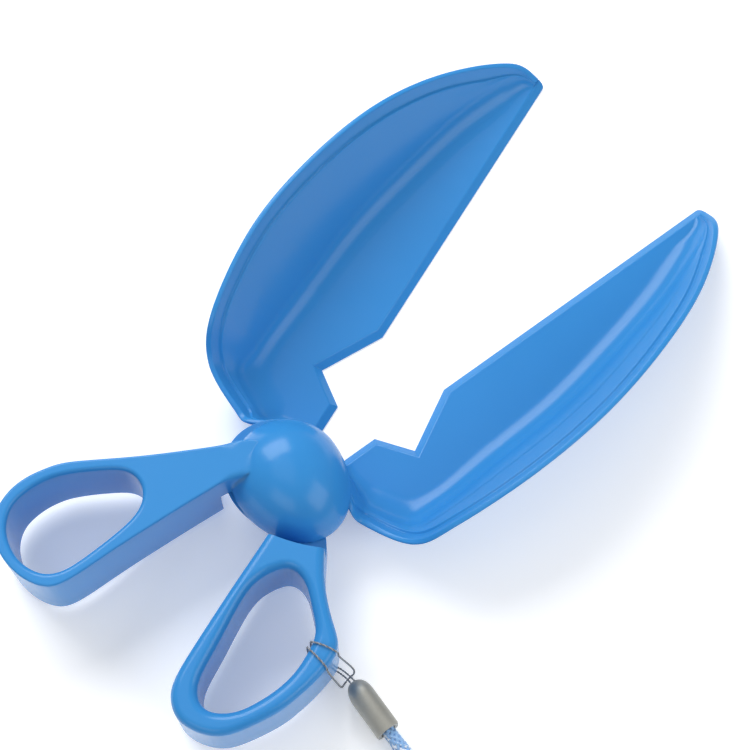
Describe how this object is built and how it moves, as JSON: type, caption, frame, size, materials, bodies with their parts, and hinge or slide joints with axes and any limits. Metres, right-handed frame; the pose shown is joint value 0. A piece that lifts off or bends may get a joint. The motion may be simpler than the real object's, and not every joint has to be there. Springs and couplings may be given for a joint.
{
  "type": "pooper scooper",
  "caption": "Hand-held scissor scooper with dish scoops that meet along a straight edge, a ball-shaped pivot, finger-ring handles and a corded wrist loop.",
  "frame": {"origin": "centre of the pivot cap's flat outer face, on the hinge axis, level with the undersides of the scoops", "axes": "+Z along the hinge axis to the front dome, the way the scoops open; +X midway between the resting scoops, towards their tips; +Y to the rear half's scoop"},
  "size_m": [0.2341, 0.1726, 0.0321],
  "materials": {
    "blue_plastic": "glossy injection-moulded sky blue plastic",
    "steel": "plain zinc-plated steel",
    "bush_plastic": "natural acetal, unpolished",
    "ferrule_metal": "satin grey metal",
    "braided_cord": "light blue and white speckled braid",
    "dark_string": "thin dark string"
  },
  "bodies": {
    "rear": {"rear_half": "blue_plastic", "pivot_cap": "blue_plastic", "pivot_washer": "steel", "pivot_bush": "bush_plastic", "spring_washer": "steel", "ferrule": "ferrule_metal", "wrist_cord": "braided_cord", "lanyard_string": "dark_string"},
    "front": {"front_half": "blue_plastic", "pivot_screw": "steel"}
  },
  "joints": [
    {"name": "scoop pivot", "type": "hinge", "parent": "rear", "child": "front", "pos_m": [0, 0, 0.0153], "axis": [0, 0, 1], "range_deg": [-14, 23.2]}
  ]
}
